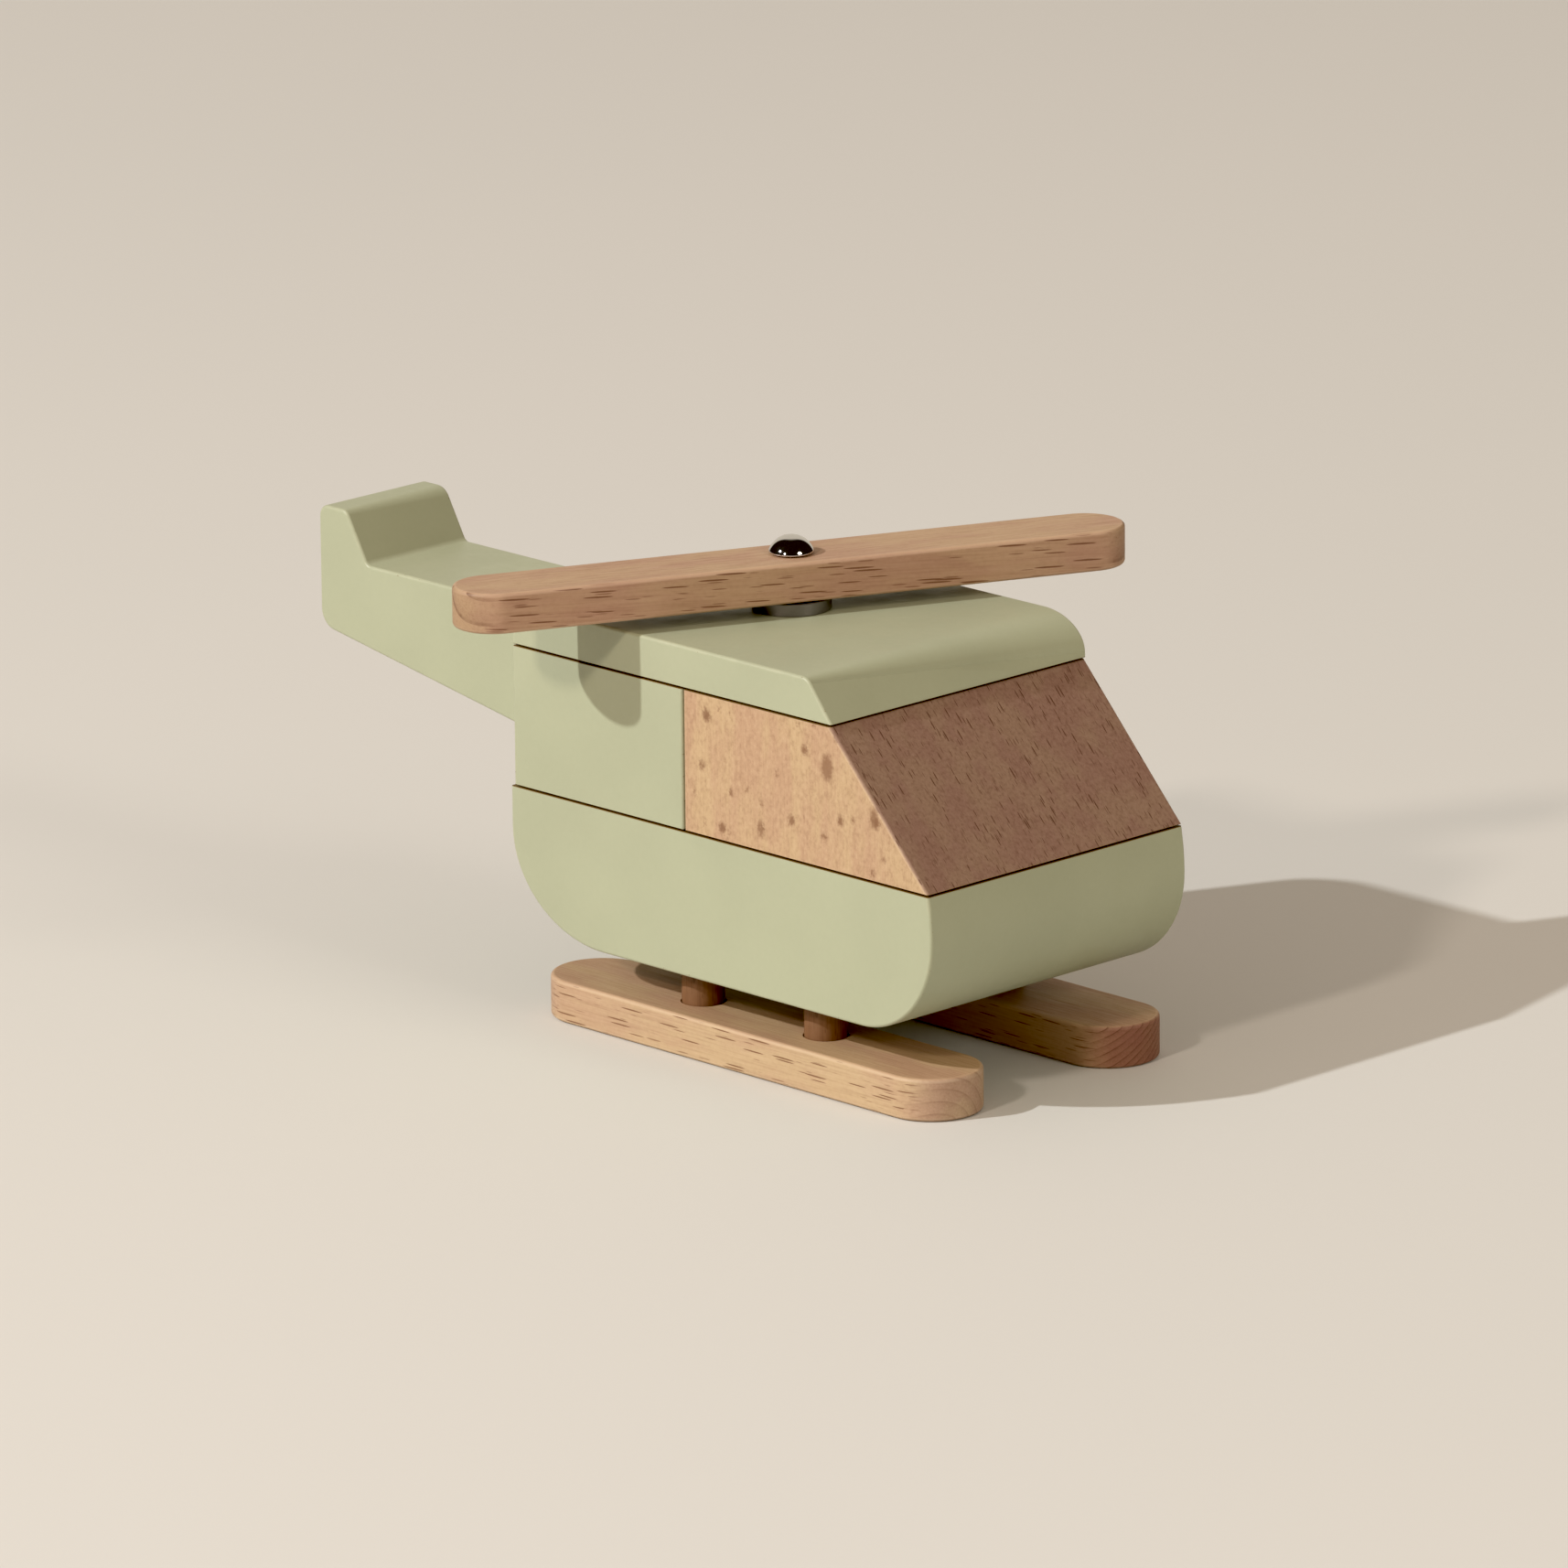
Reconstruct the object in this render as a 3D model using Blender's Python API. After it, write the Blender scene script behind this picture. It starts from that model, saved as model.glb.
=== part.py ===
"""Wooden toy helicopter: painted body blocks, a natural beech cabin window, skids and rotor.

+X is forward, +Y is the helicopter's left, +Z is up. The origin is under the middle of the
bounding box, level with the undersides of the skids. All lengths are in metres.
"""
import math

import bmesh
import bpy

# Overall
LENGTH = 0.1828
BODY_WIDTH = 0.066
SEAM = 0.0003
ARRIS = 0.0007
NOSE_X = LENGTH / 2
TAIL_X = -LENGTH / 2

# Rotor axis and body stations, measured from the rotor axis
ROTOR_X = NOSE_X - 0.0686
BLOCK_REAR_X = ROTOR_X - 0.0400
WINDOW_REAR_X = ROTOR_X + 0.0050
WINDSCREEN_TOP_X = ROTOR_X + 0.0430
WINDSCREEN_FOOT_X = ROTOR_X + 0.0680
ROOF_NOSE_X = ROTOR_X + 0.0434
HULL_REAR_X = ROTOR_X - 0.0409

# Levels of the glued seams and flat faces
HULL_BOTTOM_Z = 0.0158
HULL_SEAM_Z = 0.0435
ROOF_SEAM_Z = 0.0705
ROOF_TOP_Z = 0.0785

# Hull and roof corners, as quarter ellipses of these half-axes
HULL_REAR_CORNER = (0.0240, 0.0200)
HULL_NOSE_CORNER = (0.0182, 0.0188)
ROOF_CORNER = (0.0105, 0.0070)

# The hand-sanded roof nose is nearly flat at its right end
ROOF_NOSE_SLOPE = 0.0062
ROOF_NOSE_RADIUS = 0.0028

# Tail boom and fin
TAIL_WIDTH = 0.026
FIN_TOP_Z = 0.0804
FIN_FRONT_TOP_X = ROTOR_X - 0.1067
FIN_FRONT_FOOT_X = ROTOR_X - 0.1011
TAIL_TIP_BOTTOM_Z = 0.0568
TAIL_TIP_RADIUS = 0.0040
FIN_NOSE_RADIUS_RIGHT = 0.0018
FIN_NOSE_RADIUS_LEFT = 0.0034
FIN_REAR_RADIUS = 0.0022
FIN_FOOT_RADIUS = 0.0016

# Skids and struts
SKID_LENGTH = 0.1050
SKID_WIDTH = 0.0190
SKID_THICKNESS = 0.0080
SKID_Y = 0.0230
SKID_X = ROTOR_X + 0.0154
STRUT_DIAMETER = 0.0080
STRUT_SPACING = 0.0320
STRUT_INTO_SKID = 0.0050
STRUT_INTO_HULL = 0.0120

# Rotor
BLADE_LENGTH = 0.1312
BLADE_WIDTH = 0.0150
BLADE_BOTTOM_Z = 0.0812
BLADE_TOP_Z = 0.0888
BLADE_ANGLE = math.radians(66.4)
BLADE_ARRIS = 0.0009
AXLE_DIAMETER = 0.0040
AXLE_BOTTOM_Z = 0.0710
AXLE_TOP_Z = 0.0905
CAP_DIAMETER = 0.0084
CAP_HEIGHT = 0.0035
CAP_RIM = 0.0003
WASHER_DIAMETER = 0.0148
CLIP_DIAMETER = 0.0090
CLIP_THICKNESS = 0.0018
CLIP_POCKET_DEPTH = 0.0032

# Hidden assembly dowels
DOWEL_DIAMETER = 0.0060
DOWEL_INTO_BLOCK = 0.0120
DOWEL_INTO_ROOF = 0.0050
DOWEL_INTO_TAIL = 0.0150
DOWEL_Y = 0.0190
REAR_DOWEL_X = ROTOR_X - 0.0220
HULL_WINDOW_DOWEL_X = ROTOR_X + 0.0440
ROOF_WINDOW_DOWEL_X = ROTOR_X + 0.0220
TAIL_DOWEL_Z = {"lower": 0.0510, "upper": 0.0630}
DOWEL_CHAMFER = 0.0005

SIDES = {"left": 1, "right": -1}
FACETS = 32

PAINT_COLOR = (0.52, 0.54, 0.33, 1.0)
BEECH_COLOR = (0.68, 0.46, 0.27, 1.0)
STEEL_COLOR = (0.55, 0.55, 0.56, 1.0)
CHROME_COLOR = (0.80, 0.80, 0.82, 1.0)


def clear_scene():
    for obj in list(bpy.data.objects):
        bpy.data.objects.remove(obj, do_unlink=True)


def material(name, color, roughness, metallic=0.0):
    made = bpy.data.materials.new(name)
    made.use_nodes = True
    shader = made.node_tree.nodes["Principled BSDF"]
    shader.inputs["Base Color"].default_value = color
    shader.inputs["Roughness"].default_value = roughness
    shader.inputs["Metallic"].default_value = metallic
    return made


def quarter_ellipse(center, half_axes, start_degrees, steps=12):
    """Points of a quarter turn of an ellipse, counter-clockwise from start_degrees."""
    points = []
    for step in range(steps + 1):
        angle = math.radians(start_degrees + 90.0 * step / steps)
        u = center[0] + half_axes[0] * math.cos(angle)
        v = center[1] + half_axes[1] * math.sin(angle)
        points.append((u, v))
    return points


def rounded_corner(before, corner, after, radius, steps=6):
    """Points of the arc that rounds one corner of an outline."""
    to_before = (before[0] - corner[0], before[1] - corner[1])
    to_after = (after[0] - corner[0], after[1] - corner[1])
    length_before = math.hypot(*to_before)
    length_after = math.hypot(*to_after)
    a = (to_before[0] / length_before, to_before[1] / length_before)
    b = (to_after[0] / length_after, to_after[1] / length_after)
    half = math.acos(a[0] * b[0] + a[1] * b[1]) / 2
    reach = radius / math.tan(half)
    bisector = (a[0] + b[0], a[1] + b[1])
    scale = radius / math.sin(half) / math.hypot(*bisector)
    center = (corner[0] + bisector[0] * scale, corner[1] + bisector[1] * scale)
    first = (corner[0] + a[0] * reach - center[0], corner[1] + a[1] * reach - center[1])
    last = (corner[0] + b[0] * reach - center[0], corner[1] + b[1] * reach - center[1])
    start = math.atan2(first[1], first[0])
    sweep = math.atan2(last[1], last[0]) - start
    sweep = (sweep + math.pi) % (2 * math.pi) - math.pi
    points = []
    for step in range(steps + 1):
        angle = start + sweep * step / steps
        u = center[0] + radius * math.cos(angle)
        v = center[1] + radius * math.sin(angle)
        points.append((u, v))
    return points


def stadium(length, width, steps=18):
    """Outline of a bar with half-round ends, lying along its first axis."""
    radius = width / 2
    reach = length / 2 - radius
    points = []
    for end, start in ((1, -90.0), (-1, 90.0)):
        for step in range(steps + 1):
            angle = math.radians(start + 180.0 * step / steps)
            u = end * reach + radius * math.cos(angle)
            v = radius * math.sin(angle)
            points.append((u, v))
    return points


def new_object(name, mesh, made_of):
    mesh.materials.append(made_of)
    obj = bpy.data.objects.new(name, mesh)
    bpy.context.collection.objects.link(obj)
    return obj


def prism(name, outline, axis, low, high, made_of, far_outline=None):
    """A closed solid whose outline is drawn in the plane across axis and runs from low to high.

    A far outline, with as many points, gives the end at high another shape.
    """
    form = bmesh.new()
    rings = []
    for level, points in ((low, outline), (high, far_outline or outline)):
        ring = []
        for u, v in points:
            position = (u, level, v) if axis == "y" else (u, v, level)
            ring.append(form.verts.new(position))
        rings.append(ring)
    count = len(outline)
    form.faces.new(rings[0])
    form.faces.new(list(reversed(rings[1])))
    for index in range(count):
        following = (index + 1) % count
        form.faces.new((rings[0][index], rings[1][index], rings[1][following], rings[0][following]))
    bmesh.ops.recalc_face_normals(form, faces=form.faces)
    mesh = bpy.data.meshes.new(name)
    form.to_mesh(mesh)
    form.free()
    return new_object(name, mesh, made_of)


def turned(name, profile, made_of, facets=FACETS):
    """A solid of revolution about +Z; profile is a closed loop of (radius, height) points."""
    form = bmesh.new()
    rings = []
    for radius, height in profile:
        if radius == 0.0:
            rings.append([form.verts.new((0.0, 0.0, height))])
            continue
        ring = []
        for step in range(facets):
            angle = 2 * math.pi * step / facets
            ring.append(form.verts.new((radius * math.cos(angle), radius * math.sin(angle), height)))
        rings.append(ring)
    for index, ring in enumerate(rings):
        following = rings[(index + 1) % len(rings)]
        if len(ring) == 1 and len(following) == 1:
            continue
        for step in range(facets):
            after = (step + 1) % facets
            corners = [ring[step % len(ring)], ring[after % len(ring)]]
            corners += [following[after % len(following)], following[step % len(following)]]
            form.faces.new(list(dict.fromkeys(corners)))
    bmesh.ops.recalc_face_normals(form, faces=form.faces)
    mesh = bpy.data.meshes.new(name)
    form.to_mesh(mesh)
    form.free()
    return new_object(name, mesh, made_of)


def ease_edges(obj, width, segments=2):
    """Round the sharp edges of a block and shade it smooth."""
    bevel = obj.modifiers.new("eased_edges", "BEVEL")
    bevel.width = width
    bevel.segments = segments
    bevel.limit_method = "ANGLE"
    bevel.angle_limit = math.radians(30)


def shade(obj):
    obj.data.shade_smooth()
    obj.data.set_sharp_from_angle(angle=math.radians(30))


def bore(obj, holes):
    """Cut round holes; each hole is (start point, axis letter, diameter, depth along the axis)."""
    form = bmesh.new()
    for start, axis, diameter, depth in holes:
        ring_low = []
        ring_high = []
        for step in range(FACETS):
            angle = 2 * math.pi * step / FACETS
            across = (diameter / 2 * math.cos(angle), diameter / 2 * math.sin(angle))
            for ring, along in ((ring_low, 0.0), (ring_high, depth)):
                offset = (across[0], across[1], along) if axis == "z" else (along, across[0], across[1])
                ring.append(form.verts.new([start[i] + offset[i] for i in range(3)]))
        form.faces.new(ring_low)
        form.faces.new(list(reversed(ring_high)))
        for step in range(FACETS):
            after = (step + 1) % FACETS
            form.faces.new((ring_low[step], ring_high[step], ring_high[after], ring_low[after]))
    bmesh.ops.recalc_face_normals(form, faces=form.faces)
    mesh = bpy.data.meshes.new(obj.name + "_cutter")
    form.to_mesh(mesh)
    form.free()
    cutter = bpy.data.objects.new(obj.name + "_cutter", mesh)
    bpy.context.collection.objects.link(cutter)
    cutter.hide_render = True
    cutter.display_type = "WIRE"
    boolean = obj.modifiers.new("bored_holes", "BOOLEAN")
    boolean.operation = "DIFFERENCE"
    boolean.solver = "EXACT"
    boolean.use_self = True
    boolean.object = cutter


def hole_up(x, y, mouth_z, diameter, depth):
    """A blind hole bored upwards from a downward face."""
    overshoot = 0.001
    return ((x, y, mouth_z - overshoot), "z", diameter + 2 * SEAM, depth + overshoot + SEAM)


def hole_down(x, y, mouth_z, diameter, depth):
    """A blind hole bored downwards from an upward face."""
    overshoot = 0.001
    return ((x, y, mouth_z - depth - SEAM), "z", diameter + 2 * SEAM, depth + overshoot + SEAM)


def strut_positions():
    for end, sense in (("front", 1), ("rear", -1)):
        for side, sign in SIDES.items():
            yield end, side, SKID_X + sense * STRUT_SPACING / 2, sign * SKID_Y


def make_hull(paint):
    rear_center = (HULL_REAR_X + HULL_REAR_CORNER[0], HULL_BOTTOM_Z + HULL_REAR_CORNER[1])
    nose_center = (NOSE_X - HULL_NOSE_CORNER[0], HULL_BOTTOM_Z + HULL_NOSE_CORNER[1])
    top_z = HULL_SEAM_Z - SEAM / 2
    outline = [(HULL_REAR_X, top_z)]
    outline += quarter_ellipse(rear_center, HULL_REAR_CORNER, 180.0, 14)
    outline += quarter_ellipse(nose_center, HULL_NOSE_CORNER, 270.0, 14)
    lean = NOSE_X - WINDSCREEN_FOOT_X
    rise = top_z - nose_center[1]
    for part in (0.4, 0.7, 1.0):
        outline.append((NOSE_X - lean * part ** 2, nose_center[1] + rise * part))
    hull = prism("hull", outline, "y", -BODY_WIDTH / 2, BODY_WIDTH / 2, paint)
    ease_edges(hull, ARRIS)
    holes = []
    for _, _, x, y in strut_positions():
        holes.append(hole_up(x, y, HULL_BOTTOM_Z, STRUT_DIAMETER, STRUT_INTO_HULL))
    for x in (REAR_DOWEL_X, HULL_WINDOW_DOWEL_X):
        for sign in SIDES.values():
            holes.append(hole_down(x, sign * DOWEL_Y, top_z, DOWEL_DIAMETER, DOWEL_INTO_BLOCK))
    bore(hull, holes)
    shade(hull)


def make_rear_block(paint):
    bottom_z = HULL_SEAM_Z + SEAM / 2
    top_z = ROOF_SEAM_Z - SEAM / 2
    front_x = WINDOW_REAR_X - SEAM / 2
    outline = [(BLOCK_REAR_X, bottom_z), (front_x, bottom_z), (front_x, top_z), (BLOCK_REAR_X, top_z)]
    block = prism("rear_block", outline, "y", -BODY_WIDTH / 2, BODY_WIDTH / 2, paint)
    ease_edges(block, ARRIS)
    holes = []
    for sign in SIDES.values():
        y = sign * DOWEL_Y
        holes.append(hole_up(REAR_DOWEL_X, y, bottom_z, DOWEL_DIAMETER, DOWEL_INTO_BLOCK))
        holes.append(hole_down(REAR_DOWEL_X, y, top_z, DOWEL_DIAMETER, DOWEL_INTO_BLOCK))
    for z in TAIL_DOWEL_Z.values():
        start = (BLOCK_REAR_X - 0.001, 0.0, z)
        holes.append((start, "x", DOWEL_DIAMETER + 2 * SEAM, DOWEL_INTO_TAIL + 0.001 + SEAM))
    bore(block, holes)
    shade(block)


def make_window_block(beech):
    bottom_z = HULL_SEAM_Z + SEAM / 2
    top_z = ROOF_SEAM_Z - SEAM / 2
    rear_x = WINDOW_REAR_X + SEAM / 2
    outline = [(rear_x, bottom_z), (WINDSCREEN_FOOT_X, bottom_z), (WINDSCREEN_TOP_X, top_z), (rear_x, top_z)]
    block = prism("window_block", outline, "y", -BODY_WIDTH / 2, BODY_WIDTH / 2, beech)
    ease_edges(block, ARRIS)
    holes = []
    for sign in SIDES.values():
        y = sign * DOWEL_Y
        holes.append(hole_up(HULL_WINDOW_DOWEL_X, y, bottom_z, DOWEL_DIAMETER, DOWEL_INTO_BLOCK))
        holes.append(hole_down(ROOF_WINDOW_DOWEL_X, y, top_z, DOWEL_DIAMETER, DOWEL_INTO_BLOCK))
    bore(block, holes)
    shade(block)


def make_roof(paint):
    bottom_z = ROOF_SEAM_Z + SEAM / 2
    center_z = ROOF_TOP_Z - ROOF_CORNER[1]
    foot = (ROOF_NOSE_X, bottom_z)
    slope_top = (ROOF_NOSE_X - ROOF_NOSE_SLOPE, ROOF_TOP_Z)
    noses = {
        "right": rounded_corner(foot, slope_top, (BLOCK_REAR_X, ROOF_TOP_Z), ROOF_NOSE_RADIUS, 12),
        "left": quarter_ellipse((ROOF_NOSE_X - ROOF_CORNER[0], center_z), ROOF_CORNER, 0.0),
    }
    rear = quarter_ellipse((BLOCK_REAR_X + ROOF_CORNER[0], center_z), ROOF_CORNER, 90.0)
    outlines = {}
    for side, nose in noses.items():
        outlines[side] = [(BLOCK_REAR_X, bottom_z), foot] + nose + rear
    half = BODY_WIDTH / 2
    roof = prism("roof", outlines["right"], "y", -half, half, paint, outlines["left"])
    ease_edges(roof, ARRIS)
    holes = []
    for x in (REAR_DOWEL_X, ROOF_WINDOW_DOWEL_X):
        for sign in SIDES.values():
            holes.append(hole_up(x, sign * DOWEL_Y, bottom_z, DOWEL_DIAMETER, DOWEL_INTO_ROOF))
    holes.append(hole_up(ROTOR_X, 0.0, bottom_z, CLIP_DIAMETER, CLIP_POCKET_DEPTH))
    holes.append(hole_up(ROTOR_X, 0.0, bottom_z, AXLE_DIAMETER, 0.010))
    bore(roof, holes)
    shade(roof)


def make_tail(paint):
    root_x = BLOCK_REAR_X - SEAM
    root_bottom = (root_x, HULL_SEAM_Z + SEAM)
    root_top = (root_x, ROOF_SEAM_Z)
    fin_foot = (FIN_FRONT_FOOT_X, ROOF_SEAM_Z)
    fin_front = (FIN_FRONT_TOP_X, FIN_TOP_Z)
    fin_rear = (TAIL_X, FIN_TOP_Z)
    tip_bottom = (TAIL_X, TAIL_TIP_BOTTOM_Z)
    outlines = []
    for nose_radius in (FIN_NOSE_RADIUS_RIGHT, FIN_NOSE_RADIUS_LEFT):
        outline = [root_bottom, root_top]
        outline += rounded_corner(root_top, fin_foot, fin_front, FIN_FOOT_RADIUS, 4)
        outline += rounded_corner(fin_foot, fin_front, fin_rear, nose_radius, 6)
        outline += rounded_corner(fin_front, fin_rear, tip_bottom, FIN_REAR_RADIUS, 4)
        outline += rounded_corner(fin_rear, tip_bottom, root_bottom, TAIL_TIP_RADIUS, 8)
        outlines.append(outline)
    tail = prism("tail", outlines[0], "y", -TAIL_WIDTH / 2, TAIL_WIDTH / 2, paint, outlines[1])
    ease_edges(tail, ARRIS)
    holes = []
    for z in TAIL_DOWEL_Z.values():
        start = (root_x - DOWEL_INTO_TAIL - SEAM, 0.0, z)
        holes.append((start, "x", DOWEL_DIAMETER + 2 * SEAM, DOWEL_INTO_TAIL + 0.001 + SEAM))
    bore(tail, holes)
    shade(tail)


def make_skids(beech):
    for side, sign in SIDES.items():
        outline = []
        for u, v in stadium(SKID_LENGTH, SKID_WIDTH):
            outline.append((SKID_X + u, sign * SKID_Y + v))
        skid = prism("skid_" + side, outline, "z", 0.0, SKID_THICKNESS, beech)
        ease_edges(skid, BLADE_ARRIS)
        holes = []
        for _, strut_side, x, y in strut_positions():
            if strut_side == side:
                holes.append(hole_down(x, y, SKID_THICKNESS, STRUT_DIAMETER, STRUT_INTO_SKID))
        bore(skid, holes)
        shade(skid)


def peg_profile(diameter, length):
    radius = diameter / 2
    chamfered = radius - DOWEL_CHAMFER
    return [
        (0.0, 0.0),
        (chamfered, 0.0),
        (radius, DOWEL_CHAMFER),
        (radius, length - DOWEL_CHAMFER),
        (chamfered, length),
        (0.0, length),
    ]


def make_struts(beech):
    bottom_z = SKID_THICKNESS - STRUT_INTO_SKID
    length = HULL_BOTTOM_Z + STRUT_INTO_HULL - bottom_z
    for end, side, x, y in strut_positions():
        strut = turned("strut_" + end + "_" + side, peg_profile(STRUT_DIAMETER, length), beech)
        strut.location = (x, y, bottom_z)
        shade(strut)


def make_assembly_dowels(beech):
    joints = {
        "hull_rear": (REAR_DOWEL_X, HULL_SEAM_Z - DOWEL_INTO_BLOCK, 2 * DOWEL_INTO_BLOCK),
        "hull_window": (HULL_WINDOW_DOWEL_X, HULL_SEAM_Z - DOWEL_INTO_BLOCK, 2 * DOWEL_INTO_BLOCK),
        "roof_rear": (REAR_DOWEL_X, ROOF_SEAM_Z - DOWEL_INTO_BLOCK, DOWEL_INTO_BLOCK + DOWEL_INTO_ROOF),
        "roof_window": (ROOF_WINDOW_DOWEL_X, ROOF_SEAM_Z - DOWEL_INTO_BLOCK, DOWEL_INTO_BLOCK + DOWEL_INTO_ROOF),
    }
    for joint, (x, bottom_z, length) in joints.items():
        for side, sign in SIDES.items():
            dowel = turned("dowel_" + joint + "_" + side, peg_profile(DOWEL_DIAMETER, length), beech)
            dowel.location = (x, sign * DOWEL_Y, bottom_z)
            shade(dowel)
    for level, z in TAIL_DOWEL_Z.items():
        dowel = turned("dowel_tail_" + level, peg_profile(DOWEL_DIAMETER, 2 * DOWEL_INTO_TAIL - SEAM), beech)
        dowel.rotation_euler = (0.0, math.radians(90), 0.0)
        dowel.location = (BLOCK_REAR_X - DOWEL_INTO_TAIL, 0.0, z)
        shade(dowel)


def make_blade(beech):
    height = BLADE_TOP_Z - BLADE_BOTTOM_Z
    blade = prism("rotor_blade", stadium(BLADE_LENGTH, BLADE_WIDTH), "z", 0.0, height, beech)
    ease_edges(blade, BLADE_ARRIS)
    hole = ((0.0, 0.0, -0.001), "z", AXLE_DIAMETER + 2 * SEAM, height + 0.002)
    bore(blade, [hole])
    shade(blade)
    for obj in (blade, bpy.data.objects["rotor_blade_cutter"]):
        obj.location = (ROTOR_X, 0.0, BLADE_BOTTOM_Z)
        obj.rotation_euler = (0.0, 0.0, BLADE_ANGLE)


def make_cap(chrome):
    base_z = BLADE_TOP_Z + SEAM
    rise = CAP_HEIGHT - SEAM - CAP_RIM
    radius = CAP_DIAMETER / 2
    bore_radius = AXLE_DIAMETER / 2 + SEAM
    bore_depth = AXLE_TOP_Z + SEAM - base_z
    sphere_radius = (radius ** 2 + rise ** 2) / (2 * rise)
    half_angle = math.asin(radius / sphere_radius)
    top = CAP_RIM + rise
    profile = [(bore_radius, 0.0), (radius, 0.0)]
    steps = 8
    for step in range(steps):
        angle = half_angle * (1 - step / steps)
        profile.append((sphere_radius * math.sin(angle), top - sphere_radius * (1 - math.cos(angle))))
    profile += [(0.0, top), (0.0, bore_depth), (bore_radius, bore_depth)]
    cap = turned("rotor_cap", profile, chrome)
    cap.location = (ROTOR_X, 0.0, base_z)
    shade(cap)


def ring_profile(inner_radius, outer_radius, height):
    edge = height / 8
    return [
        (inner_radius, 0.0),
        (outer_radius - edge, 0.0),
        (outer_radius, edge),
        (outer_radius, height - edge),
        (outer_radius - edge, height),
        (inner_radius, height),
    ]


def make_washer(steel):
    height = BLADE_BOTTOM_Z - ROOF_TOP_Z - 2 * SEAM
    profile = ring_profile(AXLE_DIAMETER / 2 + SEAM, WASHER_DIAMETER / 2, height)
    washer = turned("rotor_washer", profile, steel)
    washer.location = (ROTOR_X, 0.0, ROOF_TOP_Z + SEAM)
    shade(washer)


def make_axle(steel):
    axle = turned("rotor_axle", peg_profile(AXLE_DIAMETER, AXLE_TOP_Z - AXLE_BOTTOM_Z), steel)
    axle.location = (ROTOR_X, 0.0, AXLE_BOTTOM_Z)
    shade(axle)


def make_clip(steel):
    profile = ring_profile(AXLE_DIAMETER / 2 + SEAM, CLIP_DIAMETER / 2, CLIP_THICKNESS)
    clip = turned("axle_clip", profile, steel)
    clip.location = (ROTOR_X, 0.0, ROOF_SEAM_Z + SEAM / 2 + CLIP_POCKET_DEPTH - CLIP_THICKNESS)
    shade(clip)


def build():
    clear_scene()
    paint = material("sage_paint", PAINT_COLOR, 0.55)
    beech = material("natural_beech", BEECH_COLOR, 0.60)
    steel = material("axle_steel", STEEL_COLOR, 0.35, 1.0)
    chrome = material("cap_chrome", CHROME_COLOR, 0.08, 1.0)
    make_hull(paint)
    make_rear_block(paint)
    make_window_block(beech)
    make_roof(paint)
    make_tail(paint)
    make_skids(beech)
    make_struts(beech)
    make_assembly_dowels(beech)
    make_blade(beech)
    make_cap(chrome)
    make_washer(steel)
    make_axle(steel)
    make_clip(steel)


build()
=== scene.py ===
"""Looks of a wooden toy helicopter, built around its CAD frame.

Painted sage body blocks, a natural beech window block, skids, struts and rotor blade, a
polished chrome push cap and a steel washer. Lengths are in metres; +X is the nose, +Z is up.
"""
import math

import bmesh
import bpy
from mathutils import Matrix, Vector


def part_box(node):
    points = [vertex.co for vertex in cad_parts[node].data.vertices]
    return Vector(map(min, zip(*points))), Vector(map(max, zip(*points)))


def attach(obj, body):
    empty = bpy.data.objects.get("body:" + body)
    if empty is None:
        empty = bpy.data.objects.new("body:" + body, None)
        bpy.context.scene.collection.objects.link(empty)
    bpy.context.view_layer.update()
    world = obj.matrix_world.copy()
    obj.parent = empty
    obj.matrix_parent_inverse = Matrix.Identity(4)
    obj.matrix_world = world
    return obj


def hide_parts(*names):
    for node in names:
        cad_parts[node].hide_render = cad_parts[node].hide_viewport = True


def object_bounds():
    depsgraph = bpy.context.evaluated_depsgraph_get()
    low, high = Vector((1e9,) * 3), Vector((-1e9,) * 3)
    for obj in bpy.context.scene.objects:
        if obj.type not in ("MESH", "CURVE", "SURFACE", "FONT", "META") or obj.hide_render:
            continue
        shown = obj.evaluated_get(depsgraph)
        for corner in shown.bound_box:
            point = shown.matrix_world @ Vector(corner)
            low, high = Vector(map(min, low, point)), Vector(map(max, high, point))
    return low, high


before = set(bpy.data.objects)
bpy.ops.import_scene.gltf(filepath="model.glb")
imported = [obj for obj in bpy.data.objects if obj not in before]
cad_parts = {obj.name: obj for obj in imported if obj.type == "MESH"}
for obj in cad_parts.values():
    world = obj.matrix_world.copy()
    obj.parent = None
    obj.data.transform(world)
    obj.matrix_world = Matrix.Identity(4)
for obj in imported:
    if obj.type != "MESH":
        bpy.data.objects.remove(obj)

CAD_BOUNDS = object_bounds()

# Camera and contrast
CAMERA_TARGET = Vector((0.02038, 0.0, 0.04432))
CAMERA_AZIMUTH = math.radians(45.572)
CAMERA_ELEVATION = math.radians(15.602)
CAMERA_ROLL = math.radians(-0.492)
CAMERA_DISTANCE = 2.3636
CAMERA_LENS = 294.05
CAMERA_SENSOR = 36.0
CAMERA_CLIP = (0.1, 50.0)
BLACK_LEVEL = 0.018

# Lamps, each with the direction its light comes from
LAMPS = {
    "key": {
        "toward": (-0.45, -1.0, 0.76),
        "distance": 4.0,
        "size": 0.087,
        "power": 124.0,
        "color": (1.0, 1.0, 0.99),
    },
    "second": {
        "toward": (0.14, -1.0, 0.60),
        "distance": 3.5,
        "size": 0.30,
        "power": 37.0,
        "color": (1.0, 0.85, 0.72),
    },
    "third": {
        "toward": (1.0, 0.05, 0.54),
        "distance": 3.5,
        "size": 1.2,
        "power": 24.5,
        "color": (1.0, 0.92, 0.81),
    },
}

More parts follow.
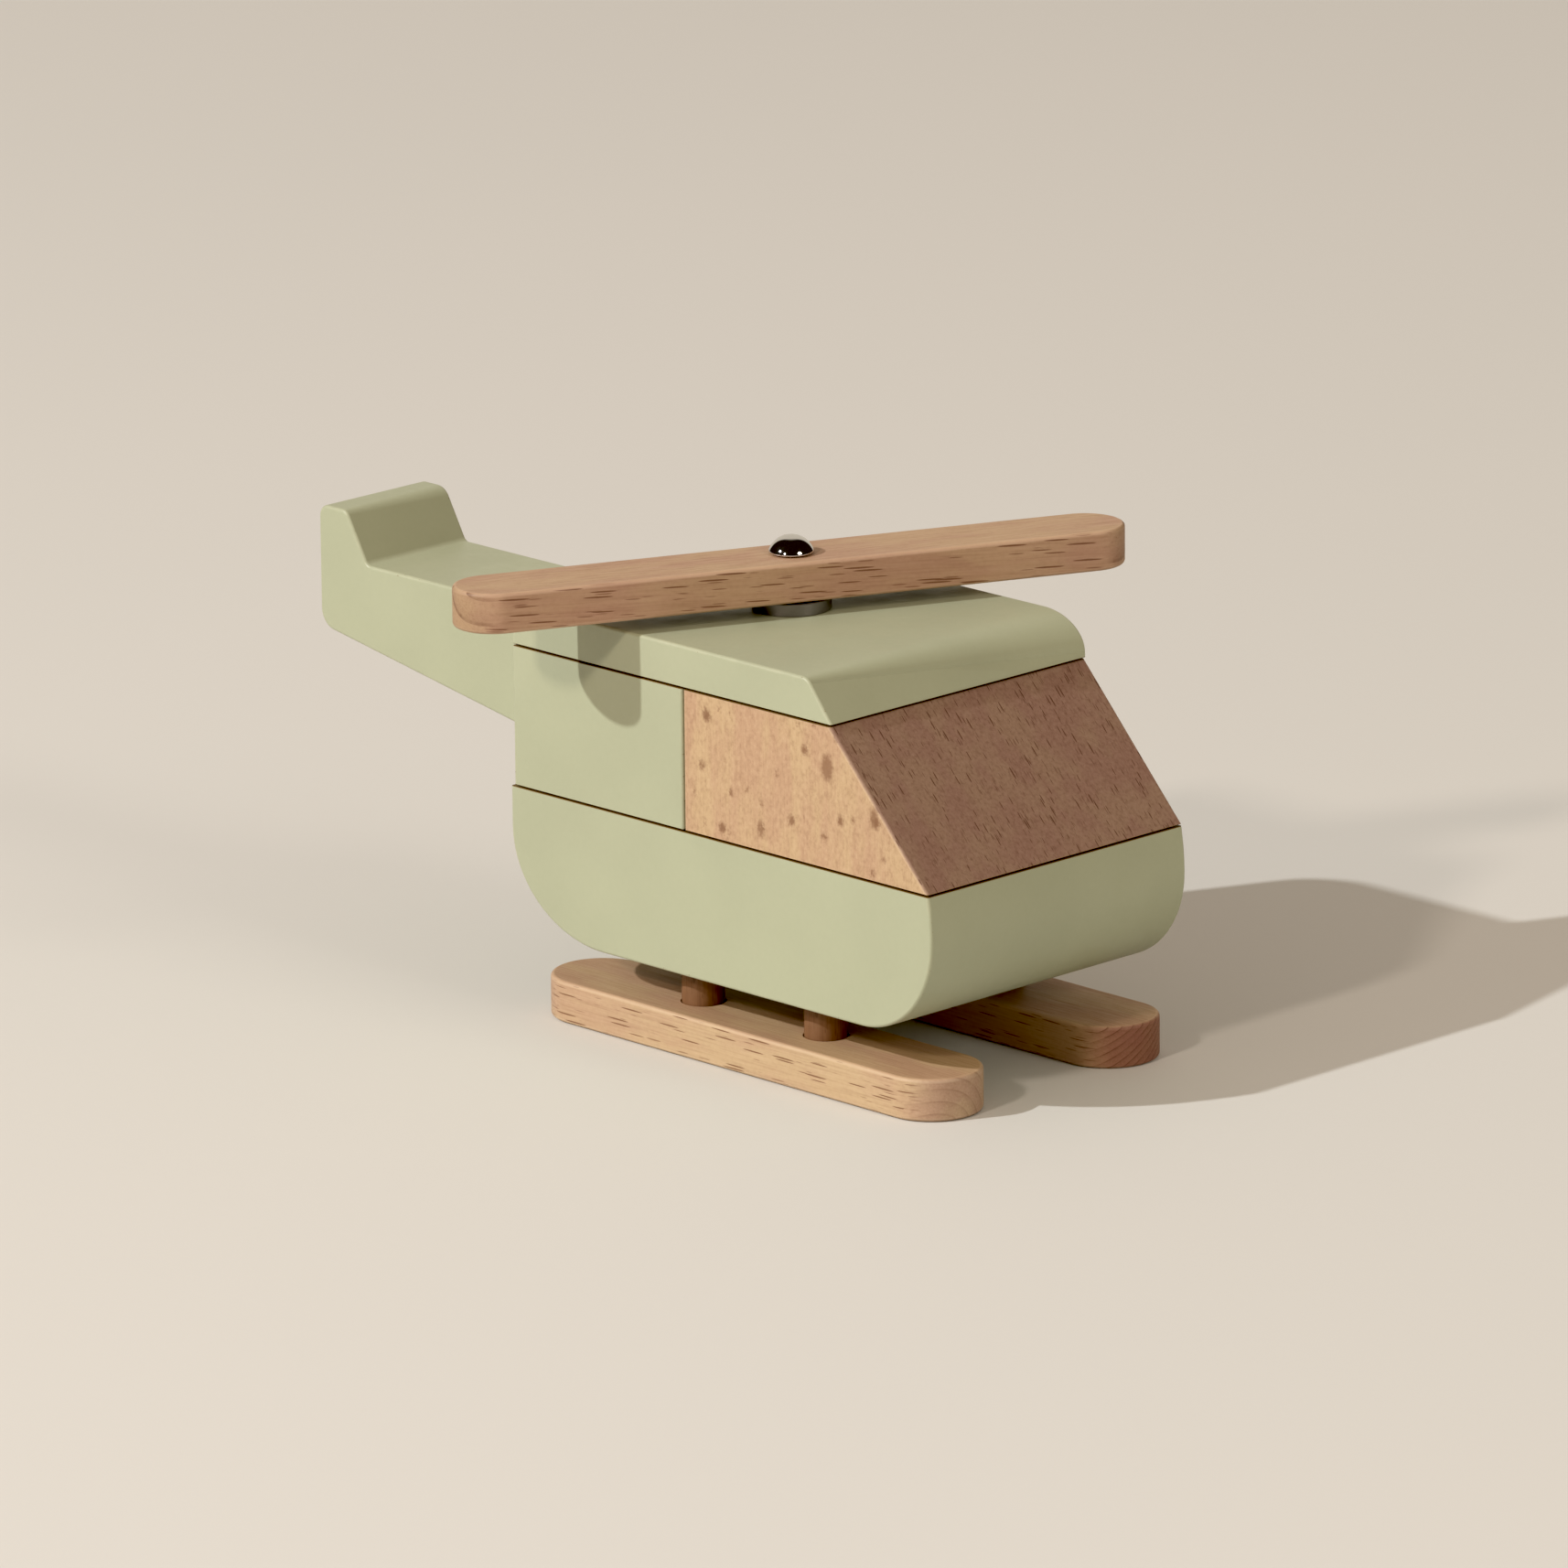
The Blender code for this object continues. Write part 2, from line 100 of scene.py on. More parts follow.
# Room light from the horizon up to straight overhead, and what glossy faces mirror. The
# backdrop is the ellipse of directions behind the toy with these reaches (sideways, upward).
ROOM_LOW = (0.37, 0.315, 0.215)
ROOM_HIGH = (0.545, 0.445, 0.378)
ROOM_DARK = (0.03, 0.025, 0.02)
BACKDROP = (0.66, 0.61, 0.50)
BACKDROP_REACH = (0.60, 0.91)
BACKDROP_EDGE = (1.15, 0.85)

# Floor
FLOOR_HALF = 4.0
FLOOR_CELLS = 8
FLOOR_DROP = 0.0001

# Outlines, as in the CAD
HULL_REAR_CORNER = (0.0240, 0.0200)
HULL_NOSE_CORNER = (0.0182, 0.0188)
HULL_LEAN_STEPS = 8
WINDSCREEN_SETBACK = 0.0004
ROOF_CORNER = (0.0105, 0.0070)
ROOF_SLOPE = 0.0062
ROOF_SLOPE_RADIUS = 0.0028
FIN_FRONT_TOP = 0.0075
FIN_FRONT_FOOT = 0.0131
TAIL_TIP_BOTTOM_Z = 0.0568
TAIL_TIP_RADIUS = 0.0040
FIN_NOSE_RADII = (0.0018, 0.0034)
FIN_REAR_RADIUS = 0.0022
FIN_FOOT_RADIUS = 0.0016
BLADE_LENGTH = 0.1312
BLADE_WIDTH = 0.0150
BLADE_ANGLE = math.radians(66.4)
AXLE_HOLE = 0.0046
STRUT_CHAMFER = 0.0005
CAP_RIM = 0.0003
CAP_LIP = 0.00012
WASHER_EDGE = 0.00012
WASHER_GAP = 0.00003

# Rounding of the edges
BLOCK_ARRIS = 0.0006
BOARD_ARRIS = 0.0007
SEAM_SHARE = 0.37
SEAM_TOLERANCE = 0.0001
SEAM_STAIN = 0.7
ARRIS_SEGMENTS = 5
SMOOTH_ANGLE = math.radians(30)
NORMAL_WEIGHT = 80
HOLE_CLEARANCE = 0.00025


# ---------------------------------------------------------------- shader helpers


def add_node(tree, kind, inputs=None, **settings):
    made = tree.nodes.new(kind)
    for key, value in settings.items():
        setattr(made, key, value)
    for key, value in (inputs or {}).items():
        if isinstance(value, bpy.types.NodeSocket):
            tree.links.new(value, made.inputs[key])
        else:
            made.inputs[key].default_value = value
    return made


def calc(tree, operation, first, second=0.0):
    inputs = {0: first, 1: second}
    return add_node(tree, "ShaderNodeMath", inputs, operation=operation).outputs[0]


def calc_vector(tree, operation, first, second, third=(0.0, 0.0, 0.0)):
    inputs = {0: first, 1: second, 2: third}
    return add_node(tree, "ShaderNodeVectorMath", inputs, operation=operation).outputs


def smooth_range(tree, value, low, high, to_low=0.0, to_high=1.0):
    """Smoothly remap value from low..high to to_low..to_high."""
    inputs = {"Value": value, "From Min": low, "From Max": high, "To Min": to_low, "To Max": to_high}
    made = add_node(tree, "ShaderNodeMapRange", inputs, interpolation_type="SMOOTHSTEP")
    return made.outputs["Result"]


def mix_colors(tree, amount, first, second, blend="MIX"):
    inputs = {0: amount, 6: first, 7: second}
    return add_node(tree, "ShaderNodeMix", inputs, data_type="RGBA", blend_type=blend).outputs[2]


def rgba(color):
    return (color[0], color[1], color[2], 1.0)


def scaled(tree, vector, factors, offset=(0.0, 0.0, 0.0)):
    inputs = {"Vector": vector, "Scale": factors, "Location": offset}
    return add_node(tree, "ShaderNodeMapping", inputs).outputs["Vector"]


def noise(tree, vector, scale, detail=3.0, roughness=0.55):
    inputs = {"Vector": vector, "Scale": scale, "Detail": detail, "Roughness": roughness}
    return add_node(tree, "ShaderNodeTexNoise", inputs).outputs["Fac"]


def new_material(name):
    made = bpy.data.materials.new(name)
    made.use_nodes = True
    tree = made.node_tree
    shader = tree.nodes["Principled BSDF"]
    return made, tree, shader


def place(tree):
    return tree.nodes.new("ShaderNodeTexCoord").outputs["Object"]


def bump(tree, shader, height, strength, distance):
    inputs = {"Height": height, "Strength": strength, "Distance": distance}
    made = add_node(tree, "ShaderNodeBump", inputs)
    tree.links.new(made.outputs["Normal"], shader.inputs["Normal"])


def face_mark(tree, name):
    """A value from 0 to 1 that the mesh carries on its faces."""
    return add_node(tree, "ShaderNodeAttribute", attribute_name=name).outputs["Fac"]


# ---------------------------------------------------------------- paint


PAINT = (0.370, 0.392, 0.272)
PAINT_WORN = (0.48, 0.48, 0.34)
CHIP_BROWN = (0.16, 0.092, 0.04)
GLUE_BROWN = (0.12, 0.066, 0.012)
RUBBED_AWAY = 0.25
CHIP_DEPTH = 0.8


def glue_stained(tree, color):
    """The colour, turned dark brown on faces that are glued to another block."""
    return mix_colors(tree, face_mark(tree, "glued"), color, rgba(GLUE_BROWN))


def brushed_on(tree, where, color):
    """The colour with the slight unevenness of brushed paint."""
    broad = smooth_range(tree, noise(tree, where, 28.0, 2.0), 0.3, 0.7, 0.965, 1.03)
    fine = calc(tree, "SUBTRACT", noise(tree, where, 900.0, 3.0), 0.5)
    value = calc(tree, "ADD", broad, calc(tree, "MULTIPLY", fine, 0.05))
    inputs = {"Red": value, "Green": value, "Blue": value}
    grey = add_node(tree, "ShaderNodeCombineColor", inputs).outputs[0]
    return mix_colors(tree, 1.0, color, grey, "MULTIPLY")


def rubbed(tree, where, arris):
    """Where the paint has worn paler along the arrises."""
    patchy = smooth_range(tree, noise(tree, where, 160.0, 3.0), 0.40, 0.70)
    return calc(tree, "MULTIPLY", calc(tree, "MULTIPLY", arris, patchy), RUBBED_AWAY)


def chipped(tree, where, arris):
    """Small spots along the arrises where the wood shows."""
    spots = noise(tree, scaled(tree, where, (1.0, 1.0, 1.6)), 1400.0, 4.0, 0.65)
    return calc(tree, "MULTIPLY", arris, smooth_range(tree, spots, 0.66, 0.70))


def sage_paint():
    made, tree, shader = new_material("sage_paint_satin")
    where = place(tree)
    arris = face_mark(tree, "arris")
    chips = chipped(tree, where, arris)
    color = brushed_on(tree, where, rgba(PAINT))
    color = mix_colors(tree, rubbed(tree, where, arris), color, rgba(PAINT_WORN))
    color = mix_colors(tree, chips, color, rgba(CHIP_BROWN))
    tree.links.new(glue_stained(tree, color), shader.inputs["Base Color"])
    gloss = noise(tree, where, 220.0, 4.0)
    tree.links.new(smooth_range(tree, gloss, 0.3, 0.7, 0.40, 0.50), shader.inputs["Roughness"])
    orange_peel = noise(tree, where, 520.0, 2.0)
    level = calc(tree, "SUBTRACT", orange_peel, calc(tree, "MULTIPLY", chips, CHIP_DEPTH))
    bump(tree, shader, level, 0.10, 0.00006)
    return made


# ---------------------------------------------------------------- beech


BEECH_LIGHT = (0.478, 0.336, 0.196)
BEECH_MID = (0.430, 0.268, 0.172)
BEECH_DARK = (0.190, 0.092, 0.045)
BEECH_PALE = (0.576, 0.424, 0.272)
PATCH_SCALE = 130.0
PATCH_STRENGTH = 0.75
MOTTLE_SCALE = 1500.0
FIBRE_SCALE = 2600.0
FIBRE_STRETCH = 0.035
# Painted highlight: how far the rounded edges of the wood are lightened.
ARRIS_PAINTED_HIGHLIGHT = 0.35
RING_BREAK_SCALE = 380.0
RAGGED_REACH = 0.0014
RAGGED_SCALE = 1600.0


def grain_space(tree, grain, lean):
    """Object coordinates as (across, depth, along the grain), with the grain leaning a little."""
    parts = add_node(tree, "ShaderNodeSeparateXYZ", {0: place(tree)}).outputs
    along = parts["X"] if grain == "x" else parts["Z"]
    across = parts["Z"] if grain == "x" else parts["Y"]
    depth = parts["Y"] if grain == "x" else parts["X"]
    across = calc(tree, "ADD", across, calc(tree, "MULTIPLY", along, lean))
    return add_node(tree, "ShaderNodeCombineXYZ", {"X": across, "Y": depth, "Z": along}).outputs[0]


def facing(tree, letter):
    """How squarely a face looks along an axis of the piece, from 0 to 1."""
    normal = tree.nodes.new("ShaderNodeTexCoord").outputs["Normal"]
    part = add_node(tree, "ShaderNodeSeparateXYZ", {0: normal}).outputs[letter]
    return calc(tree, "ABSOLUTE", part)


def roughened(tree, space):
    """The coordinates shaken by noise, so that marks get ragged outlines."""
    inputs = {"Vector": space, "Scale": RAGGED_SCALE, "Detail": 2.0}
    shake = add_node(tree, "ShaderNodeTexNoise", inputs).outputs["Color"]
    centred = calc_vector(tree, "SUBTRACT", shake, (0.5, 0.5, 0.5))[0]
    reach = (RAGGED_REACH, RAGGED_REACH, RAGGED_REACH)
    return calc_vector(tree, "MULTIPLY_ADD", centred, reach, space)[0]


def marks(tree, space, layer):
    """Spindle-shaped marks, one to a cell where there is one, from 0 to 1."""
    stretched = scaled(tree, space, tuple(1 / length for length in layer["cell"]), layer["shift"])
    cells = add_node(tree, "ShaderNodeTexVoronoi", {"Vector": stretched, "Scale": 1.0})
    chance = add_node(tree, "ShaderNodeSeparateColor", {0: cells.outputs["Color"]}).outputs
    present = calc(tree, "LESS_THAN", chance["Red"], layer["share"])
    growth = calc(tree, "ADD", calc(tree, "MULTIPLY", chance["Green"], 0.8), 0.6)
    reach = calc(tree, "MULTIPLY", growth, layer["size"])
    inside = calc(tree, "SUBTRACT", reach, cells.outputs["Distance"])
    return calc(tree, "MULTIPLY", present, smooth_range(tree, inside, 0.0, layer["softness"]))


def growth_rings(tree, space, pith, ring_width):
    """Thin dark lines where one year's growth meets the next, from 0 to 1."""
    inputs = {
        "Vector": scaled(tree, space, (1.0, 1.0, 0.05), (-pith[0], -pith[1], 0.0)),
        "Scale": 2 * math.pi / (20 * ring_width),
        "Distortion": 1.4,
        "Detail": 2.0,
        "Detail Scale": 0.20,
    }
    settings = {"wave_type": "RINGS", "rings_direction": "Z", "wave_profile": "SAW"}
    return add_node(tree, "ShaderNodeTexWave", inputs, **settings).outputs["Fac"]


def varied(tree, color, value, pale_from, amount):
    """Darken the colour where a noise value is high and lighten it where the value is low."""
    dark = smooth_range(tree, value, 0.45, 0.75, 0.0, amount)
    color = mix_colors(tree, dark, color, rgba(BEECH_DARK))
    pale = smooth_range(tree, value, pale_from, 0.25, 0.0, amount)
    return mix_colors(tree, pale, color, rgba(BEECH_PALE))


def plain_wood(tree, space, fibre, look):
    """The colour of the wood between its rings and marks, with a painted highlight on its rounded edges.
    """
    patches = noise(tree, scaled(tree, space, (1.0, 1.0, 0.3)), PATCH_SCALE, 3.0)
    patches = smooth_range(tree, patches, 0.38, 0.62, 0.0, PATCH_STRENGTH)
    color = mix_colors(tree, patches, rgba(BEECH_LIGHT), rgba(BEECH_MID))
    mottle = noise(tree, scaled(tree, space, (1.0, 1.0, 0.7)), MOTTLE_SCALE, 4.0, 0.6)
    color = varied(tree, color, mottle, 0.50, look["mottle"])
    color = varied(tree, color, fibre, 0.48, look["fibre"])
    # Painted highlight: the rounded edges are mixed towards pale beech.
    painted_highlight = calc(tree, "MULTIPLY", face_mark(tree, "arris"), ARRIS_PAINTED_HIGHLIGHT)
    return mix_colors(tree, painted_highlight, color, rgba(BEECH_PALE))


def ring_figure(tree, space, end_grain, look):
    """How much the growth rings darken the wood: strongly on end grain, faintly elsewhere."""
    rings = growth_rings(tree, space, look["pith"], look["ring_width"])
    line = smooth_range(tree, rings, 0.80, 0.95)
    band = smooth_range(tree, rings, 0.2, 1.0, 0.0, 0.3)
    broken = noise(tree, scaled(tree, space, (1.0, 1.0, 0.3)), RING_BREAK_SCALE, 2.0)
    broken = smooth_range(tree, broken, 0.38, 0.58, 0.25, 1.0)
    line = calc(tree, "MULTIPLY", line, calc(tree, "MULTIPLY", broken, 0.75))
    visible = smooth_range(tree, end_grain, 0.15, 0.6, look["ring_on_side"], look["ring_on_end"])
    return calc(tree, "MULTIPLY", calc(tree, "ADD", line, band), visible)


def tinted(tree, color, end_grain, look):
    """The colour with the tints of this piece, of its end grain and of its flat faces. On the skids and
    the struts some of these tints are painted shade.
    """
    end = smooth_range(tree, end_grain, 0.1, look["end_full"])
    end_tint_and_shade = mix_colors(tree, end, (1.0, 1.0, 1.0, 1.0), rgba(look["end_tint_and_shade"]))
    color = mix_colors(tree, 1.0, color, end_tint_and_shade, "MULTIPLY")
    color = mix_colors(tree, 1.0, color, rgba(look["tint_and_shade"]), "MULTIPLY")
    flat = smooth_range(tree, facing(tree, "Z"), 0.5, 0.9)
    return mix_colors(tree, flat, color, rgba(look["flat_tint_and_shade"]), "MULTIPLY")


def beech(name, grain, look):
    """Natural beech with its grain along one axis; look holds the figure of this piece."""
    made, tree, shader = new_material(name)
    space = grain_space(tree, grain, look["lean"])
    ragged = roughened(tree, space)
    end_grain = facing(tree, grain.upper())
    fibre = noise(tree, scaled(tree, space, (1.0, 1.0, FIBRE_STRETCH)), FIBRE_SCALE, 4.0, 0.6)
    color = plain_wood(tree, space, fibre, look)
    color = mix_colors(tree, ring_figure(tree, space, end_grain, look), color, rgba(BEECH_DARK))
    relief = calc(tree, "MULTIPLY", fibre, 0.3)
    for layer in look["marks"]:
        mark = marks(tree, ragged if layer["ragged"] else space, layer)
        start = layer["start"]
        seen = facing(tree, layer["face"])
        seen = smooth_range(tree, seen, start, start + 0.2, 0.0, layer["strength"])
        mark = calc(tree, "MULTIPLY", mark, seen)
        color = mix_colors(tree, mark, color, rgba(BEECH_DARK))
        relief = calc(tree, "SUBTRACT", relief, mark)
    color = tinted(tree, color, end_grain, look)
    tree.links.new(glue_stained(tree, color), shader.inputs["Base Color"])
    tree.links.new(smooth_range(tree, fibre, 0.3, 0.7, 0.52, 0.66), shader.inputs["Roughness"])
    bump(tree, shader, relief, 0.25, 0.00008)
    return made


def mark_layer(face, start, cell, share, size, softness, strength, shift, ragged=False):
    """Marks on the faces that look along face by more than start. cell is (across, depth, along)."""
    return {
        "face": face,
        "start": start,
        "cell": cell,
        "share": share,
        "size": size,
        "softness": softness,
        "strength": strength,
        "shift": shift,
        "ragged": ragged,
    }


def board_marks(seed):
    """Ray ends: thin dashes on the edges of a board and faint streaks on its flat faces."""
    long_dashes = mark_layer(
        face="Y",
        start=0.80,
        cell=(0.00062, 0.0120, 0.0115),
        share=0.66,
        size=0.25,
        softness=0.06,
        strength=0.95,
        shift=(seed, 0.3, 0.7),
    )
    short_dashes = mark_layer(
        face="Y",
        start=0.75,
        cell=(0.00045, 0.0060, 0.0060),
        share=0.30,
        size=0.28,
        softness=0.10,
        strength=0.65,
        shift=(0.2, seed, 0.1),
    )
    streaks = mark_layer(
        face="Z",
        start=0.60,
        cell=(0.0040, 0.00050, 0.0090),
        share=0.26,
        size=0.32,
        softness=0.15,
        strength=0.28,
        shift=(0.6, 0.1, seed),
    )
    return (long_dashes, short_dashes, streaks)


def board_look(pith, ring_width, ring_on_end, tint_and_shade, end_tint_and_shade, flat_tint_and_shade, lean, seed):
    """The figure of a skid or of the rotor blade."""
    return {
        "lean": lean,
        "mottle": 0.10,
        "fibre": 0.22,
        "pith": pith,
        "ring_width": ring_width,
        "ring_on_side": 0.06,
        "ring_on_end": ring_on_end,
        "end_full": 0.9,
        "end_tint_and_shade": end_tint_and_shade,
        "flat_tint_and_shade": flat_tint_and_shade,
        "tint_and_shade": tint_and_shade,
        "marks": board_marks(seed),
    }


WINDOW_MARKS = (
    mark_layer(
        face="X",
        start=0.40,
        cell=(0.00040, 0.008, 0.0027),
        share=0.28,
        size=0.30,
        softness=0.06,
        strength=0.95,
        shift=(0.1, 0.2, 0.3),
    ),
    mark_layer(
        face="X",
        start=0.40,
        cell=(0.00030, 0.006, 0.0018),
        share=0.30,
        size=0.32,
        softness=0.12,
        strength=0.50,
        shift=(0.5, 0.7, 0.1),
    ),
    mark_layer(
        face="Y",
        start=0.60,
        cell=(0.0030, 0.0044, 0.0052),
        share=0.46,
        size=0.25,
        softness=0.22,
        strength=0.85,
        shift=(0.3, 0.2, 0.4),
        ragged=True,
    ),
    mark_layer(
        face="Y",
        start=0.60,
        cell=(0.0030, 0.0070, 0.0120),
        share=0.22,
        size=0.22,
        softness=0.16,
        strength=0.75,
        shift=(0.1, 0.6, 0.2),
        ragged=True,
    ),
)
WINDOW_LOOK = {
    "lean": 0.0,
    "mottle": 0.34,
    "fibre": 0.10,
    "pith": (0.12, 0.05),
    "ring_width": 0.0045,
    "ring_on_side": 0.05,
    "ring_on_end": 0.10,
    "end_full": 0.68,
    "end_tint_and_shade": (0.595, 0.545, 0.655),
    "flat_tint_and_shade": (1.0, 1.0, 1.0),
    "tint_and_shade": (1.0, 1.0, 1.0),
    "marks": WINDOW_MARKS,
}
LEFT_SKID_LOOK = board_look(
    pith=(-0.10, 0.10),
    ring_width=0.0012,
    ring_on_end=0.75,
    # Painted shade: the whole skid is darkened and its ends darker still, for the shade under the hull;
    # the flat-face tint brings its top back up.
    tint_and_shade=(0.92, 0.83, 0.84),
    end_tint_and_shade=(0.60, 0.47, 0.52),
    flat_tint_and_shade=(1.08, 1.16, 1.20),
    lean=0.02,
    seed=0.3,
)
RIGHT_SKID_LOOK = board_look(
    pith=(-0.003, -0.029),
    ring_width=0.0023,
    ring_on_end=0.36,
    tint_and_shade=(1.04, 1.07, 1.10),
    end_tint_and_shade=(0.88, 0.87, 0.95),
    # Painted shade: the top and bottom faces are darkened for the hull's shade on the skid top.
    flat_tint_and_shade=(0.92, 0.87, 0.86),
    lean=0.0,
    seed=0.5,
)
BLADE_LOOK = board_look(
    pith=(0.0084, -0.0065),
    ring_width=0.0047,
    ring_on_end=0.75,
    tint_and_shade=(0.93, 0.865, 0.965),
    end_tint_and_shade=(0.80, 0.80, 0.72),
    flat_tint_and_shade=(1.02, 1.065, 1.03),
    lean=0.04,
    seed=0.9,
)
DOWEL_MARKS = mark_layer(
    face="Y",
    start=0.0,
    cell=(0.0004, 0.004, 0.0035),
    share=0.25,
    size=0.32,
    softness=0.12,
    strength=0.5,
    shift=(0.4, 0.4, 0.2),
)
DOWEL_LOOK = {
    "lean": 0.0,
    "mottle": 0.10,
    "fibre": 0.35,
    "pith": (0.03, 0.03),
    "ring_width": 0.0018,
    "ring_on_side": 0.10,
    "ring_on_end": 0.30,
    "end_full": 0.9,
    "end_tint_and_shade": (0.80, 0.72, 0.72),
    "flat_tint_and_shade": (1.0, 1.0, 1.0),
    # Painted shade: the struts are darkened to under half, for the shade under the hull.
    "tint_and_shade": (0.42, 0.30, 0.245),
    "marks": (DOWEL_MARKS,),
}


# ---------------------------------------------------------------- metals and floor


STEEL = ((0.19, 0.18, 0.175), (0.28, 0.265, 0.26))
CHROME = ((0.70, 0.66, 0.66), (0.80, 0.77, 0.76))
PAPER = ((0.615, 0.622, 0.602), (0.650, 0.642, 0.617))
PAPER_TOOTH = (0.48, 0.455, 0.415)


def washer_steel():
    made, tree, shader = new_material("washer_steel_satin")
    brushed = noise(tree, scaled(tree, place(tree), (1.0, 1.0, 14.0)), 900.0, 3.0)
    color = mix_colors(tree, brushed, rgba(STEEL[0]), rgba(STEEL[1]))
    tree.links.new(color, shader.inputs["Base Color"])
    shader.inputs["Metallic"].default_value = 0.85
    tree.links.new(smooth_range(tree, brushed, 0.2, 0.8, 0.36, 0.50), shader.inputs["Roughness"])
    bump(tree, shader, brushed, 0.10, 0.00004)
    return made


def cap_chrome():
    made, tree, shader = new_material("cap_polished_chrome")
    where = place(tree)
    haze = noise(tree, where, 700.0, 4.0)
    tree.links.new(mix_colors(tree, haze, rgba(CHROME[0]), rgba(CHROME[1])), shader.inputs["Base Color"])
    shader.inputs["Metallic"].default_value = 1.0
    scratches = noise(tree, scaled(tree, where, (1.0, 0.15, 1.0)), 5200.0, 2.0)
    tree.links.new(smooth_range(tree, scratches, 0.4, 0.75, 0.04, 0.10), shader.inputs["Roughness"])
    return made


def floor_paper():
    made, tree, shader = new_material("pale_floor")
    where = place(tree)
    cloud = noise(tree, scaled(tree, where, (1.0, 0.6, 1.0)), 2.2, 3.0)
    tooth = noise(tree, where, 700.0, 3.0)
    color = mix_colors(tree, cloud, rgba(PAPER[0]), rgba(PAPER[1]))
    color = mix_colors(tree, calc(tree, "MULTIPLY", tooth, 0.04), color, rgba(PAPER_TOOTH))
    tree.links.new(color, shader.inputs["Base Color"])
    shader.inputs["Roughness"].default_value = 0.75
    bump(tree, shader, tooth, 0.05, 0.0001)
    return made


# ---------------------------------------------------------------- mesh helpers


def quarter_ellipse(center, half_axes, start_degrees, steps=28):
    points = []
    for step in range(steps + 1):
        angle = math.radians(start_degrees + 90.0 * step / steps)
        u = center[0] + half_axes[0] * math.cos(angle)
        v = center[1] + half_axes[1] * math.sin(angle)
        points.append((u, v))
    return points


def rounded_corner(before, corner, after, radius, steps=14):
    """Points of the arc that rounds one corner of an outline."""
    before = (Vector(before) - Vector(corner)).normalized()
    after = (Vector(after) - Vector(corner)).normalized()
    half = before.angle(after) / 2
    center = Vector(corner) + (before + after).normalized() * radius / math.sin(half)
    first = Vector(corner) + before * radius / math.tan(half) - center
    last = Vector(corner) + after * radius / math.tan(half) - center
    start = math.atan2(first.y, first.x)
    sweep = (math.atan2(last.y, last.x) - start + math.pi) % (2 * math.pi) - math.pi
    points = []
    for step in range(steps + 1):
        angle = start + sweep * step / steps
        points.append((center.x + radius * math.cos(angle), center.y + radius * math.sin(angle)))
    return points


def stadium(length, width, steps=48):
    radius = width / 2
    reach = length / 2 - radius
    points = []
    for end, start in ((1, -90.0), (-1, 90.0)):
        for step in range(steps + 1):
            angle = math.radians(start + 180.0 * step / steps)
            points.append((end * reach + radius * math.cos(angle), radius * math.sin(angle)))
    return points


def link(name, mesh):
    made = bpy.data.objects.new(name, mesh)
    bpy.context.scene.collection.objects.link(made)
    return made


def to_object(name, form):
    mesh = bpy.data.meshes.new(name)
    form.to_mesh(mesh)
    form.free()
    return link(name, mesh)


def on_seam(corners, levels):
    """Whether all these corners lie at one of the levels of the glued seams."""
    for level in levels:
        if max(abs(corner.co.z - level) for corner in corners) < SEAM_TOLERANCE:
            return True
    return False


def extruded(near_outline, far_outline, axis, low, high):
    """A closed mesh between an outline at low and one at high across axis."""
    form = bmesh.new()
    rings = []
    for level, outline in ((low, near_outline), (high, far_outline)):
        ring = []
        for u, v in outline:
            ring.append(form.verts.new((u, level, v) if axis == "y" else (u, v, level)))
        rings.append(ring)
    form.faces.new(rings[0])
    form.faces.new(list(reversed(rings[1])))
    for index in range(len(near_outline)):
        after = (index + 1) % len(near_outline)
        form.faces.new((rings[0][index], rings[1][index], rings[1][after], rings[0][after]))
    bmesh.ops.recalc_face_normals(form, faces=form.faces)
    return form


def weigh_edges(form, seam_levels):
    """Mark the sharp edges for rounding. Those on a glued seam are rounded less."""
    weight = form.edges.layers.float.new("bevel_weight_edge")
    for edge in form.edges:
        if edge.calc_face_angle() > SMOOTH_ANGLE:
            edge[weight] = SEAM_SHARE if on_seam(edge.verts, seam_levels) else 1.0


def round_edges(piece, arris):
    """Round the marked edges. The rounded faces get material index 1."""
    piece.data.materials.append(None)
    piece.data.materials.append(None)
    bevel = piece.modifiers.new("arris", "BEVEL")
    bevel.width = arris
    bevel.segments = ARRIS_SEGMENTS
    bevel.limit_method = "WEIGHT"
    bevel.material = 1
    bevel.use_clamp_overlap = True
    settle(piece)


def mark_faces(mesh, seam_levels):
    """Write the attributes arris and glued from the rounded faces and the seam levels."""
    rounded = mesh.attributes.new("arris", "FLOAT", "FACE")
    glued = mesh.attributes.new("glued", "FLOAT", "FACE")
    for face in mesh.polygons:
        rounded.data[face.index].value = float(face.material_index)
        corners = [mesh.vertices[corner] for corner in face.vertices]
        if on_seam(corners, seam_levels):
            glued.data[face.index].value = 1.0
        elif face.material_index and any(on_seam([corner], seam_levels) for corner in corners):
            glued.data[face.index].value = SEAM_STAIN
        face.material_index = 0


def block(name, outline, axis, low, high, arris, far_outline=None, seam_levels=()):
    """A solid with rounded arrises, for the body blocks and the boards."""
    form = extruded(outline, far_outline or outline, axis, low, high)
    weigh_edges(form, seam_levels)
    piece = to_object(name, form)
    round_edges(piece, arris)
    mark_faces(piece.data, seam_levels)
    return piece


def settle(piece):
    """Replace the mesh by what its modifiers make of it."""
    graph = bpy.context.evaluated_depsgraph_get()
    mesh = bpy.data.meshes.new_from_object(piece.evaluated_get(graph))
    piece.modifiers.clear()
    piece.data = mesh


def rod_mesh(radius, length, facets=72):
    form = bmesh.new()
    size = {"radius1": radius, "radius2": radius, "depth": length}
    bmesh.ops.create_cone(form, cap_ends=True, segments=facets, **size)
    return form


